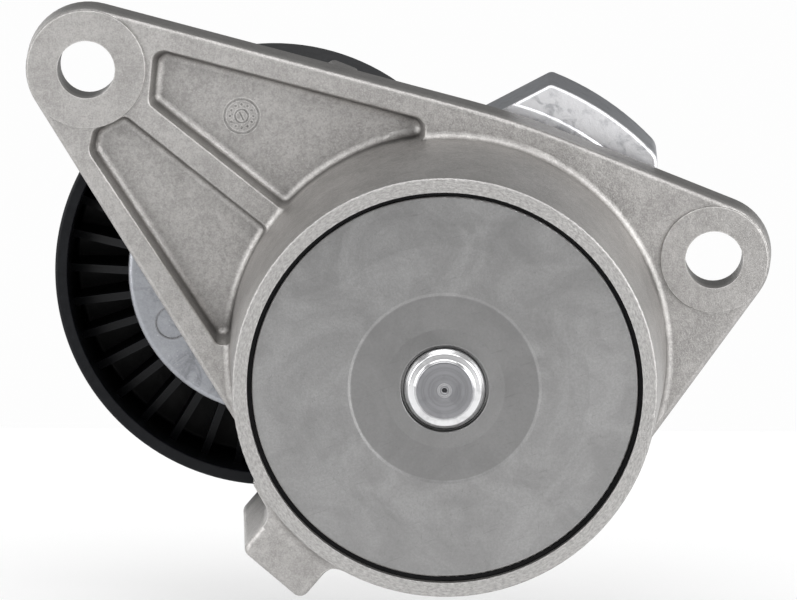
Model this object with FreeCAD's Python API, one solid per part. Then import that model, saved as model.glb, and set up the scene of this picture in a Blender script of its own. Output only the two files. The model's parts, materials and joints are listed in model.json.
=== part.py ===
"""Spring-loaded belt tensioner with a smooth idler pulley.

Frame: the origin is on the pivot axis, in the plane of the two mounting pads.
+Y runs along the pivot, away from the engine and towards the belt.
+X runs towards the smaller mounting ear and +Z is up.  All sizes are in millimetres.
"""

import FreeCAD, Part
import math
import os

# ---- driving dimensions ------------------------------------------------------------

# Mounting ears: hole centres (x, z), pad radius and outline radius
BOLT_HOLE_R = 5.5
LEFT_EAR = (-68.95, 54.75)
LEFT_PAD_R = 11.35
LEFT_EAR_R = 11.55
RIGHT_EAR = (50.75, 18.55)
RIGHT_PAD_R = 10.3
RIGHT_EAR_R = 10.7
SPOT_FACE_R = 9.2

# Housing plate
PAD_STEP = 0.6
PLATE_FRONT = 9.0
PLATE_DRAFT = 0.45
TOP_LEFT_SLOPE = -14.8
TOP_RIGHT_SLOPE = -21.7
RIGHT_SLOPE = 54.4
LEFT_SLOPE = -58.5
PLATE_EDGE_R = 0.8
POCKET_FLOOR = 5.6
POCKET_DRAFT = 0.9
POCKET_FILLET_R = 1.6
UPPER_MOUTH_R = 0.45
LOWER_MOUTH_R = 0.4
RIB_ANGLE = -38.7
RIB_WIDTH = 4.5
FLANGE_TOP = 4.2
POCKET_LEFT_SLOPE = -56.9
POCKET_LEFT_REACH = 36.15
POCKET_EAR_WALL = ((-0.996, 0.09), 61.2)
POCKET_TIP_X = -4.4
PLATE_BEND_R = 170.0
DATE_DIAL = (-39.6, 45.2)
DATE_DIAL_DEPTH = 0.3

# Spring case, part of the housing
RIM_Y = -36.5
RIM_OUTER_R = 39.6
RIM_INNER_R = 36.9
CASE_ROOT_R = 41.8
CASE_FILLET_R = 1.9
WEB_REAR = -31.7
WEB_FRONT = -27.5
CHAMBER_R = 36.4
HUB_TUBE_R = 13.8
HUB_TUBE_FRONT = 8.6
LUG_ANGLE = 229.5
LUG_REAR = -31.0
LUG_OUTER_R = 49.2
LUG_LOWER_SIDE = 6.4
LUG_UPPER_SIDE = 8.4

# Pivot
PIN_R = 9.0
BUSH_CLEARANCE = 0.05
BUSH_OUTER_R = 10.6
PIN_NOSE_R = 7.75
PIN_NOSE_Y = -38.4
END_PLATE_R = 36.0
END_PLATE_BORE = 8.15
END_PLATE_FRONT = -32.9
END_PLATE_CROWN = -36.5
END_PLATE_RIM = -35.4
DISH_R = 17.6

# Torsion spring
WIRE_R = 3.1
COIL_R = 26.0
TANG_BEND_R = 5.0
REAR_COIL_Y = WEB_FRONT + WIRE_R + 0.3
FRONT_COIL_Y = 16.0
FRONT_TANG_ANGLE = 54.0
FULL_TURNS = 5

# Arm
ARM_REAR = 12.0
ARM_FRONT = 20.0
ARM_HUB_R = 41.0
ARM_HUB_REAR = 10.75
BOSS_CENTRE = (-34.05, 14.0)
BOSS_R = 27.9
SECTOR_FRONT = 32.0
SECTOR_END_ANGLE = 39.0
SECTOR_CORNER = (19.5, 50.6)
SECTOR_EDGE_SLOPE = 27.8
ARM_TRAVEL = 40.0
RECESS_FLOOR = 16.8
DEEP_FLOOR = 19.5
DEEP_FROM = -92.0
DEEP_TO = 66.0
EJECTOR_MARK = (-53.5, 4.0)

# Pulley and its bearing (17 x 40 x 12 deep-groove ball bearing)
PULLEY_AXIS = (-34.77, 12.25)
PULLEY_R = 42.0
PULLEY_REAR = 21.0
PULLEY_FRONT = 45.0
RIM_WALL = 2.4
RIB_COUNT = 36
RIB_THICKNESS = 1.5
RIB_HUB_DEPTH = 1.4
RIB_RIM_DEPTH = 6.5
BEARING_BORE_R = 8.5
BEARING_OUTER_R = 20.0
BEARING_WIDTH = 12.0
BEARING_MIDDLE = 0.5 * (PULLEY_REAR + PULLEY_FRONT)
BEARING_REAR = BEARING_MIDDLE - 0.5 * BEARING_WIDTH
BEARING_FRONT = BEARING_MIDDLE + 0.5 * BEARING_WIDTH
HUB_OUTER_R = 24.5
SLINGER_THICKNESS = 0.9
BALL_R = 3.373
BALL_CIRCLE_R = 14.25
BALL_COUNT = 8
BALL_CLEARANCE = 0.04
GROOVE_R = 1.04 * BALL_R
RIVET_R = 0.5
BOLT_R = 5.0
HEX_ACROSS_FLATS = 15.0

# ---- helpers -----------------------------------------------------------------------

ORIGIN = FreeCAD.Vector(0, 0, 0)
ALONG_Y = FreeCAD.Vector(0, 1, 0)


def at(x, z, y=0.0):
    """Point with (x, z) across the face and y along the pivot."""
    return FreeCAD.Vector(x, y, z)


def polar(radius, degrees, centre=(0.0, 0.0)):
    """Point (x, z) at an angle measured from +X towards +Z."""
    angle = math.radians(degrees)
    return (centre[0] + radius * math.cos(angle), centre[1] + radius * math.sin(angle))


def disc(radius, y0, y1, centre=(0.0, 0.0)):
    return Part.makeCylinder(radius, y1 - y0, at(centre[0], centre[1], y0), ALONG_Y)


def ring(outer, inner, y0, y1, centre=(0.0, 0.0)):
    return disc(outer, y0, y1, centre).cut(disc(inner, y0, y1, centre))


def rounded_loop(corners, place):
    """Closed wire through (a, b) or (a, b, radius) corners; place turns (a, b) into a point."""
    count = len(corners)
    starts, ends, mids = [], [], []
    for i in range(count):
        here = corners[i]
        radius = here[2] if len(here) > 2 else 0.0
        if radius == 0.0:
            starts.append(here[:2])
            ends.append(here[:2])
            mids.append(None)
            continue
        back = corners[i - 1]
        ahead = corners[(i + 1) % count]
        in_len = math.hypot(back[0] - here[0], back[1] - here[1])
        out_len = math.hypot(ahead[0] - here[0], ahead[1] - here[1])
        u = ((back[0] - here[0]) / in_len, (back[1] - here[1]) / in_len)
        v = ((ahead[0] - here[0]) / out_len, (ahead[1] - here[1]) / out_len)
        half = 0.5 * math.acos(max(-1.0, min(1.0, u[0] * v[0] + u[1] * v[1])))
        reach = radius / math.tan(half)
        bis_len = math.hypot(u[0] + v[0], u[1] + v[1])
        bis = ((u[0] + v[0]) / bis_len, (u[1] + v[1]) / bis_len)
        depth = radius / math.sin(half) - radius
        starts.append((here[0] + u[0] * reach, here[1] + u[1] * reach))
        ends.append((here[0] + v[0] * reach, here[1] + v[1] * reach))
        mids.append((here[0] + bis[0] * depth, here[1] + bis[1] * depth))
    edges = []
    for i in range(count):
        if mids[i] is not None:
            arc = Part.Arc(place(*starts[i]), place(*mids[i]), place(*ends[i]))
            edges.append(arc.toShape())
        ahead = starts[(i + 1) % count]
        if math.hypot(ahead[0] - ends[i][0], ahead[1] - ends[i][1]) > 1e-6:
            edges.append(Part.LineSegment(place(*ends[i]), place(*ahead)).toShape())
    return Part.Wire(edges)


def prism(corners, y0, y1):
    """Straight prism along Y from an outline of (x, z) corners."""
    face = Part.Face(rounded_loop(corners, lambda a, b: at(a, b, y0)))
    return face.extrude(FreeCAD.Vector(0, y1 - y0, 0))


def tapered(rear_corners, y0, front_corners, y1):
    """Drafted prism between two outlines that have the same corners."""
    rear = rounded_loop(rear_corners, lambda a, b: at(a, b, y0))
    front = rounded_loop(front_corners, lambda a, b: at(a, b, y1))
    return Part.makeLoft([rear, front], True, True)


def turned(corners, centre=(0.0, 0.0)):
    """Solid of revolution about a line along Y, from (radius, y) corners."""
    face = Part.Face(rounded_loop(corners, lambda r, y: FreeCAD.Vector(r, y, 0)))
    solid = face.revolve(ORIGIN, ALONG_Y, 360)
    solid.translate(at(centre[0], centre[1]))
    return solid


def spun(solid, degrees, centre=(0.0, 0.0)):
    """Copy turned about a line along Y, by an angle measured from +X towards +Z."""
    copy = solid.copy()
    copy.rotate(at(centre[0], centre[1]), ALONG_Y, -degrees)
    return copy


def edges_where(solid, test):
    """Edges whose every sampled point passes the test."""
    chosen = []
    for edge in solid.Edges:
        if not edge.Degenerated and all(test(p) for p in edge.discretize(5)):
            chosen.append(edge)
    return chosen


def offset_line(slope, distance, side):
    """Line at a slope in degrees and a distance from the pivot, as (normal, distance)."""
    angle = math.radians(slope)
    normal = (-math.sin(angle) * side, math.cos(angle) * side)
    return normal, distance


def cross_point(line_a, line_b):
    """Where two (normal, distance) lines meet."""
    (a, b), p = line_a
    (c, d), q = line_b
    det = a * d - b * c
    return ((p * d - b * q) / det, (a * q - p * c) / det)


def level(z):
    """Level line at a height."""
    return (0.0, 1.0), z


def upright(x):
    """Upright line at a place across the face."""
    return (1.0, 0.0), x


def beside(line, centre, radius):
    """The same line moved to be tangent to a circle, on its outer side."""
    normal = line[0]
    return normal, normal[0] * centre[0] + normal[1] * centre[1] + radius


# ---- housing -----------------------------------------------------------------------

TOP_LEFT = beside(offset_line(TOP_LEFT_SLOPE, 0, 1), LEFT_EAR, LEFT_EAR_R)
TOP_RIGHT = beside(offset_line(TOP_RIGHT_SLOPE, 0, 1), RIGHT_EAR, RIGHT_EAR_R)
RIGHT_EDGE = beside(offset_line(RIGHT_SLOPE, 0, -1), RIGHT_EAR, RIGHT_EAR_R)
LEFT_EDGE = beside(offset_line(LEFT_SLOPE, 0, -1), LEFT_EAR, LEFT_EAR_R)
RIB_MIDDLE = beside(offset_line(RIB_ANGLE, 0, 1), LEFT_EAR, 0.0)


def shifted(line, amount):
    return line[0], line[1] + amount


def plate_outline(y, grow):
    """Outline of the plate: two ears joined by straight sides and one gentle bend."""
    left_r = LEFT_EAR_R + grow
    right_r = RIGHT_EAR_R + grow
    top_l = shifted(TOP_LEFT, grow)
    top_r = shifted(TOP_RIGHT, grow)
    right = shifted(RIGHT_EDGE, grow)
    left = shifted(LEFT_EDGE, grow)

    def on_circle(centre, radius, normal):
        return (centre[0] + radius * normal[0], centre[1] + radius * normal[1])

    bend = cross_point(top_l, top_r)
    half_turn = math.radians(0.5 * (TOP_LEFT_SLOPE - TOP_RIGHT_SLOPE))
    reach = PLATE_BEND_R * math.tan(half_turn)
    depth = PLATE_BEND_R / math.cos(half_turn) - PLATE_BEND_R
    before = (bend[0] - reach * math.cos(math.radians(TOP_LEFT_SLOPE)),
              bend[1] - reach * math.sin(math.radians(TOP_LEFT_SLOPE)))
    after = (bend[0] + reach * math.cos(math.radians(TOP_RIGHT_SLOPE)),
             bend[1] + reach * math.sin(math.radians(TOP_RIGHT_SLOPE)))
    mean_slope = math.radians(0.5 * (TOP_LEFT_SLOPE + TOP_RIGHT_SLOPE))
    middle = (bend[0] + depth * math.sin(mean_slope), bend[1] - depth * math.cos(mean_slope))

    left_top = on_circle(LEFT_EAR, left_r, top_l[0])
    left_low = on_circle(LEFT_EAR, left_r, left[0])
    left_far = on_circle(LEFT_EAR, left_r, (-0.809, 0.588))
    right_top = on_circle(RIGHT_EAR, right_r, top_r[0])
    right_low = on_circle(RIGHT_EAR, right_r, right[0])
    right_far = on_circle(RIGHT_EAR, right_r, (0.951, 0.309))
    right_foot = (right_low[0] - 40.0 * math.cos(math.radians(RIGHT_SLOPE)),
                  right_low[1] - 40.0 * math.sin(math.radians(RIGHT_SLOPE)))
    left_foot = (left_low[0] + 78.0 * math.cos(math.radians(LEFT_SLOPE)),
                 left_low[1] + 78.0 * math.sin(math.radians(LEFT_SLOPE)))

    def line(a, b):
        return Part.LineSegment(at(a[0], a[1], y), at(b[0], b[1], y)).toShape()

    def arc(a, b, c):
        return Part.Arc(at(a[0], a[1], y), at(b[0], b[1], y), at(c[0], c[1], y)).toShape()

    return Part.Wire([
        line(left_top, before),
        arc(before, middle, after),
        line(after, right_top),
        arc(right_top, right_far, right_low),
        line(right_low, right_foot),
        line(right_foot, left_foot),
        line(left_foot, left_low),
        arc(left_low, left_far, left_top),
    ])


def make_plate():
    rear = plate_outline(PAD_STEP, 0.0)
    front = plate_outline(PLATE_FRONT, PLATE_DRAFT)
    plate = Part.makeLoft([rear, front], True, True)
    rear_edges = edges_where(plate, lambda p: p.y < PAD_STEP + 0.01)
    return plate.makeFillet(PLATE_EDGE_R, rear_edges)


def case_radius(y):
    """Outer radius of the drafted spring case at a height y."""
    share = (y - RIM_Y) / (PAD_STEP - RIM_Y)
    return RIM_OUTER_R + share * (CASE_ROOT_R - RIM_OUTER_R)


def case_body(y_front):
    """Solid blank of the spring case, with its rounded rim edge."""
    return turned([
        (0, RIM_Y),
        (RIM_OUTER_R, RIM_Y, 0.45),
        (case_radius(y_front), y_front),
        (0, y_front),
    ])


def root_fillet(y, radius):
    """Ring with a concave corner between the case wall and a face at height y."""
    wall = case_radius(y)
    return turned([
        (wall - 3.0, y - radius),
        (case_radius(y - radius), y - radius),
        (wall, y, radius * 0.8),
        (wall + radius, y),
        (wall + radius, y + 1.0),
        (wall - 3.0, y + 1.0),
    ])


def lug_outline(grow):
    """Section of the lug that holds the spring's tang, with its fillets to the case."""
    lower = LUG_LOWER_SIDE + grow
    upper = LUG_UPPER_SIDE + 0.6 * grow
    outer = LUG_OUTER_R + grow
    corners = [
        (-lower - 6.5, 30.0),
        (-lower - 6.5, 38.0),
        (-lower, 40.4, 3.5),
        (-lower, outer, 1.8),
        (upper, outer, 1.8),
        (upper, 40.4, 3.5),
        (upper + 6.5, 38.0),
        (upper + 6.5, 30.0),
    ]
    out = []
    for corner in corners:
        across, up = corner[0], corner[1]
        x, z = polar(up, LUG_ANGLE)
        side = polar(across, LUG_ANGLE - 90.0)
        out.append((x + side[0], z + side[1]) + tuple(corner[2:]))
    return out


def make_lug():
    body = tapered(lug_outline(0.0), LUG_REAR, lug_outline(1.9), PLATE_FRONT)
    end_edges = edges_where(body, lambda p: p.y < LUG_REAR + 0.01 and math.hypot(p.x, p.z) > 42.0)
    body = body.makeFillet(1.3, end_edges)
    blend = root_fillet(LUG_REAR, 4.0).common(prism(lug_outline(-0.3), LUG_REAR - 4.0, LUG_REAR + 1.0))
    return body.fuse(blend)


def pocket_tool(corners, keep_out):
    """Drafted cutter for one pocket, rounded along its floor and its corners."""
    mouth_y = PAD_STEP - 1.0
    mouth = inset(corners, -0.2 * POCKET_DRAFT)
    floor = inset(corners, POCKET_DRAFT)
    tool = tapered(mouth, mouth_y, floor, POCKET_FLOOR)
    for solid in keep_out:
        tool = tool.cut(solid)
    tool = tool.removeSplitter()
    soft = [e for e in tool.Edges if max(p.y for p in e.discretize(5)) > mouth_y + 0.01]
    return tool.makeFillet(POCKET_FILLET_R, soft)


def inset(corners, amount):
    """The same polygon with every side moved inwards by an amount."""
    count = len(corners)
    area = sum(corners[i - 1][0] * corners[i][1] - corners[i][0] * corners[i - 1][1]
               for i in range(count))
    sign = 1.0 if area > 0 else -1.0
    lines = []
    for i in range(count):
        a = corners[i]
        b = corners[(i + 1) % count]
        length = math.hypot(b[0] - a[0], b[1] - a[1])
        normal = (-(b[1] - a[1]) / length * sign, (b[0] - a[0]) / length * sign)
        lines.append((normal, normal[0] * a[0] + normal[1] * a[1] + amount))
    out = []
    for i in range(count):
        x, z = cross_point(lines[i - 1], lines[i])
        out.append((x, z) + tuple(corners[i][2:]))
    return out


def make_pockets():
    """The two pockets beside the diagonal rib that runs from the left ear to the case."""
    top = shifted(TOP_LEFT, -FLANGE_TOP)
    left = offset_line(POCKET_LEFT_SLOPE, POCKET_LEFT_REACH, -1)
    rib_upper = shifted(RIB_MIDDLE, 0.5 * RIB_WIDTH)
    rib_lower = shifted(RIB_MIDDLE, -0.5 * RIB_WIDTH)
    tip = upright(POCKET_TIP_X)
    foot = level(-0.8)
    inside_case = ((0.707, -0.707), -36.5)

    upper = [
        cross_point(POCKET_EAR_WALL, top) + (2.2,),
        cross_point(top, tip) + (2.6,),
        cross_point(tip, level(36.0)),
        cross_point(rib_upper, inside_case),
        cross_point(POCKET_EAR_WALL, rib_upper) + (1.8,),
    ]
    lower = [
        (-68.62, 38.85, 3.0),
        (-67.73, 42.9, 1.5),
        cross_point(rib_lower, level(46.5)),
        cross_point(rib_lower, upright(-30.0)),
        cross_point(upright(-37.0), foot),
        cross_point(left, foot) + (2.4,),
    ]
    case = turned([
        (0, PAD_STEP - 4.0),
        (case_radius(PAD_STEP - 4.0), PAD_STEP - 4.0),
        (case_radius(PLATE_FRONT), PLATE_FRONT),
        (0, PLATE_FRONT),
    ])
    ear = turned([
        (0, -2.0),
        (LEFT_PAD_R - 0.1, -2.0),
        (LEFT_PAD_R + 0.5, PLATE_FRONT),
        (0, PLATE_FRONT),
    ], LEFT_EAR)
    return [pocket_tool(upper, [case]), pocket_tool(lower, [case, ear])]


def make_date_dial():
    """Cutter for the casting date's dial in the upper pocket: two rings, dots and a pointer."""
    y0 = POCKET_FLOOR - 0.01
    y1 = y0 + DATE_DIAL_DEPTH
    tool = ring(3.5, 3.05, y0, y1, DATE_DIAL)
    tool = tool.fuse(ring(1.45, 1.1, y0, y1, DATE_DIAL))
    for month in range(12):
        tool = tool.fuse(disc(0.24, y0, y1, polar(2.25, 30.0 * month, DATE_DIAL)))
    pointer = prism([(-0.16, -0.9), (0.16, -0.9), (0.16, 0.9), (-0.16, 0.9)], y0, y1)
    pointer = spun(pointer, 25.0)
    pointer.translate(at(*DATE_DIAL))
    return tool.fuse(pointer)


def swung(corner, travel):
    """Place of a point on the arm after it has swung through an angle."""
    return polar(math.hypot(*corner), math.degrees(math.atan2(corner[1], corner[0])) + travel)


def make_stops():
    """Blocks on the front of the plate: the free-arm stop and the full-travel stop."""
    free_face = SECTOR_END_ANGLE - 0.45
    free = prism([
        polar(42.8, free_face) + (0.8,),
        polar(49.5, free_face) + (0.8,),
        polar(49.5, free_face - 8.0) + (1.5,),
        polar(42.8, free_face - 10.0) + (1.0,),
    ], PLATE_FRONT - 1.0, ARM_FRONT - 2.5)
    slope = SECTOR_EDGE_SLOPE + ARM_TRAVEL + 0.6
    touch = swung(SECTOR_CORNER, ARM_TRAVEL + 0.6)
    run = (math.cos(math.radians(slope)), math.sin(math.radians(slope)))
    inner = (touch[0] - 5.6 * run[0], touch[1] - 5.6 * run[1])
    outer = (touch[0] + 1.6 * run[0], touch[1] + 1.6 * run[1])
    back = (-run[1] * 6.0, run[0] * 6.0)
    full = prism([
        inner + (0.8,),
        outer + (0.8,),
        (outer[0] + back[0], outer[1] + back[1], 1.5),
        (inner[0] + back[0], inner[1] + back[1], 1.5),
    ], PLATE_FRONT - 1.0, ARM_FRONT - 2.0)
    return [free, full]


def make_housing():
    root = root_fillet(PAD_STEP, CASE_FILLET_R).common(
        Part.Face(plate_outline(PAD_STEP - 4.0, -0.9)).extrude(FreeCAD.Vector(0, 6, 0)))
    blank = make_plate().fuse([case_body(PLATE_FRONT), root]).removeSplitter()
    blank = blank.cut(make_pockets())
    for side, radius in ((1, UPPER_MOUTH_R), (-1, LOWER_MOUTH_R)):
        blank = blank.makeFillet(radius, pocket_mouth(blank, side))

    blank = blank.fuse([make_lug()] + make_stops())
    for centre, radius in ((LEFT_EAR, LEFT_PAD_R), (RIGHT_EAR, RIGHT_PAD_R)):
        pad = turned([
            (0, 0),
            (radius, 0, 0.2),
            (radius, PAD_STEP + 1.5),
            (0, PAD_STEP + 1.5),
        ], centre)
        blank = blank.fuse(pad)
        blank = blank.fuse(disc(SPOT_FACE_R, PLATE_FRONT - 1.0, PLATE_FRONT + 0.4, centre))

    chamber = turned([
        (HUB_TUBE_R, WEB_FRONT, 2.0),
        (CHAMBER_R, WEB_FRONT, 1.5),
        (CHAMBER_R + 0.3, PLATE_FRONT + 2.0),
        (HUB_TUBE_R - 0.3, PLATE_FRONT + 2.0),
    ])
    above_hub = disc(HUB_TUBE_R + 0.5, HUB_TUBE_FRONT, PLATE_FRONT + 2.0)
    recess = disc(RIM_INNER_R, RIM_Y - 1.0, WEB_REAR)
    tang_slot = prism(slot_outline(LUG_ANGLE, 3.7, 30.0, 45.6), WEB_FRONT, PLATE_FRONT + 2.0)
    cutters = [chamber, above_hub, recess, tang_slot, make_date_dial()]
    cutters.append(disc(BUSH_OUTER_R, WEB_REAR - 1.0, PLATE_FRONT + 2.0))
    for centre in (LEFT_EAR, RIGHT_EAR):
        cutters.append(disc(BOLT_HOLE_R, -1.0, PLATE_FRONT + 2.0, centre))
    return blank.cut(cutters)


def slot_outline(angle, half, r0, r1):
    """Straight radial slot with rounded outer corners."""
    out = []
    for across, up, radius in ((-half, r0, 0), (-half, r1, 1.5), (half, r1, 1.5), (half, r0, 0)):
        x, z = polar(up, angle)
        side = polar(across, angle - 90.0)
        out.append((x + side[0], z + side[1], radius))
    return out


def beyond(p, line):
    """Distance of a point past a (normal, distance) line."""
    normal, distance = line
    return normal[0] * p.x + normal[1] * p.z - distance


def pocket_mouth(blank, side):
    """Edges around the mouth of the pocket above the rib (side 1) or below it (side -1)."""
    def test(p):
        ear_gap = math.hypot(p.x - LEFT_EAR[0], p.z - LEFT_EAR[1])
        inside = beyond(p, TOP_LEFT) < -2.0 and beyond(p, LEFT_EDGE) < -2.0
        return (abs(p.y - PAD_STEP) < 0.005 and inside and ear_gap > LEFT_PAD_R + 0.1
                and p.x < 0.0 and p.z > -3.0 and side * beyond(p, RIB_MIDDLE) > 0.0)
    return [e for e in edges_where(blank, test) if e.Curve.TypeId != "Part::GeomCircle"]


# ---- pivot -------------------------------------------------------------------------

def make_bushes():
    inner = PIN_R + BUSH_CLEARANCE
    rear = ring(BUSH_OUTER_R, inner, WEB_REAR + 0.2, -14.0)
    front = ring(BUSH_OUTER_R, inner, -8.0, HUB_TUBE_FRONT)
    return rear, front


def make_friction_ring():
    """L-section damping ring: a flange under the end plate and a lip around its edge."""
    return turned([
        (28.0, WEB_REAR),
        (28.0, END_PLATE_FRONT + 0.15, 0.2),
        (END_PLATE_R + 0.15, END_PLATE_FRONT + 0.15),
        (END_PLATE_R + 0.15, END_PLATE_RIM + 0.6),
        (RIM_INNER_R, END_PLATE_RIM + 0.6, 0.2),
        (RIM_INNER_R, WEB_REAR),
    ])


def make_end_plate():
    """Pressed steel disc, slightly domed, with a dish and a raised collar around the pin."""
    return turned([
        (PIN_NOSE_R, END_PLATE_FRONT),
        (PIN_NOSE_R, END_PLATE_CROWN + 2.0),
        (END_PLATE_BORE, END_PLATE_CROWN + 2.0),
        (END_PLATE_BORE, END_PLATE_CROWN - 0.3, 0.25),
        (END_PLATE_BORE + 3.1, END_PLATE_CROWN + 0.14, 1.5),
        (DISH_R, END_PLATE_CROWN + 0.14),
        (DISH_R + 0.45, END_PLATE_CROWN),
        (27.0, END_PLATE_CROWN + 0.25),
        (END_PLATE_R, END_PLATE_RIM, 0.35),
        (END_PLATE_R, END_PLATE_FRONT, 0.3),
    ])


def make_pin():
    nose = PIN_NOSE_Y
    pin = turned([
        (0, nose),
        (5.3, nose, 0.35),
        (5.75, nose + 0.75, 0.3),
        (6.75, nose + 0.8, 0.5),
        (PIN_NOSE_R, nose + 2.0, 0.6),
        (PIN_NOSE_R, END_PLATE_FRONT),
        (PIN_R, END_PLATE_FRONT, 0.4),
        (PIN_R, ARM_FRONT - 0.2, 0.5),
        (0, ARM_FRONT - 0.2),
    ])
    centre_drill = turned([(0, nose - 0.1), (0.62, nose - 0.1), (0, nose + 0.6)])
    witness = ring(1.25, 1.02, nose - 0.1, nose + 0.1)
    return pin.cut([centre_drill, witness])


def tang(angle, y, turn):
    """Bent end of the spring: an arc out of the coil, then a straight leg along a radius."""
    reach = math.sqrt((COIL_R + TANG_BEND_R) ** 2 - TANG_BEND_R ** 2)
    swing = math.degrees(math.asin(TANG_BEND_R / (COIL_R + TANG_BEND_R)))
    up = polar(1.0, angle)
    across = polar(1.0, angle - 90.0 * turn)
    bend_centre = (reach * up[0] + TANG_BEND_R * across[0], reach * up[1] + TANG_BEND_R * across[1])
    foot = (reach * up[0], reach * up[1])
    leg = Part.makeCylinder(WIRE_R, 44.5 - reach, at(foot[0], foot[1], y), at(up[0], up[1]))
    section = Part.Face(Part.Wire(Part.makeCircle(
        WIRE_R, at(foot[0], foot[1], y), at(up[0], up[1]))))
    bend = section.revolve(at(bend_centre[0], bend_centre[1], y), ALONG_Y, -turn * (90.0 - swing))
    joint = Part.makeSphere(WIRE_R, at(*polar(COIL_R, angle - turn * swing), y))
    return [leg, bend, joint]


def make_spring():
    swing = math.degrees(math.asin(TANG_BEND_R / (COIL_R + TANG_BEND_R)))
    start = LUG_ANGLE + swing
    end = FRONT_TANG_ANGLE - swing + 360.0 * FULL_TURNS
    turns = (end - start + 360.0) / 360.0
    height = FRONT_COIL_Y - REAR_COIL_Y
    helix = Part.makeHelix(height / turns, height, COIL_R, 0, True)
    slope = math.atan2(height / turns, 2.0 * math.pi * COIL_R)
    along = FreeCAD.Vector(0, -math.cos(slope), math.sin(slope))
    section = Part.Wire(Part.makeCircle(WIRE_R, FreeCAD.Vector(COIL_R, 0, 0), along))
    coil = Part.Wire(helix).makePipeShell([section], True, True)
    coil.rotate(ORIGIN, FreeCAD.Vector(1, 0, 0), -90.0)
    coil.translate(at(0, 0, REAR_COIL_Y))
    coil = spun(coil, start)
    tangs = tang(LUG_ANGLE, REAR_COIL_Y, -1) + tang(FRONT_TANG_ANGLE, FRONT_COIL_Y, 1)
    return coil.fuse(tangs)


# ---- arm ---------------------------------------------------------------------------

def rounded_disc(radius, y0, y1, centre=(0.0, 0.0), rear_r=0.8, front_r=0.8):
    """Disc with rounded rear and front edges."""
    return turned([(0, y0), (radius, y0, rear_r), (radius, y1, front_r), (0, y1)], centre)


def sector_corners(trim=0.0):
    """Points round the arm's sector: its arc's start, middle and end, then its two inner corners."""
    radius = math.hypot(*SECTOR_CORNER) - trim
    arc_end = math.degrees(math.atan2(SECTOR_CORNER[1], SECTOR_CORNER[0]))
    run = polar(1.0, SECTOR_EDGE_SLOPE)
    inner = (SECTOR_CORNER[0] - 24.0 * run[0], SECTOR_CORNER[1] - 24.0 * run[1])
    return [
        polar(radius, SECTOR_END_ANGLE + 1.0),
        polar(radius, 0.5 * (arc_end + SECTOR_END_ANGLE)),
        polar(radius, arc_end),
        inner,
        polar(34.0, SECTOR_END_ANGLE),
    ]


def sector_solid(y0, y1, trim=0.0):
    start, middle, corner, inner, foot = [at(x, z, y0) for x, z in sector_corners(trim)]
    edges = [Part.Arc(start, middle, corner).toShape()]
    for a, b in ((corner, inner), (inner, foot), (foot, start)):
        edges.append(Part.LineSegment(a, b).toShape())
    return Part.Face(Part.Wire(edges)).extrude(FreeCAD.Vector(0, y1 - y0, 0))


def make_sector():
    solid = sector_solid(ARM_REAR, SECTOR_FRONT)
    corners = sector_corners()
    for corner, radius in ((corners[2], 1.6), (corners[0], 3.6)):
        def upright_edge(p):
            return math.hypot(p.x - corner[0], p.z - corner[1]) < 0.1
        solid = solid.makeFillet(radius, edges_where(solid, upright_edge))
    outer = [e for e in solid.Edges if flat_edge(e) and math.hypot(*middle_of(e)) > 44.0]
    return solid.makeFillet(0.7, outer)


def middle_of(edge):
    point = edge.discretize(3)[1]
    return point.x, point.z


def flat_edge(edge):
    ys = [p.y for p in edge.discretize(3)]
    return max(ys) - min(ys) < 0.01


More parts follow.
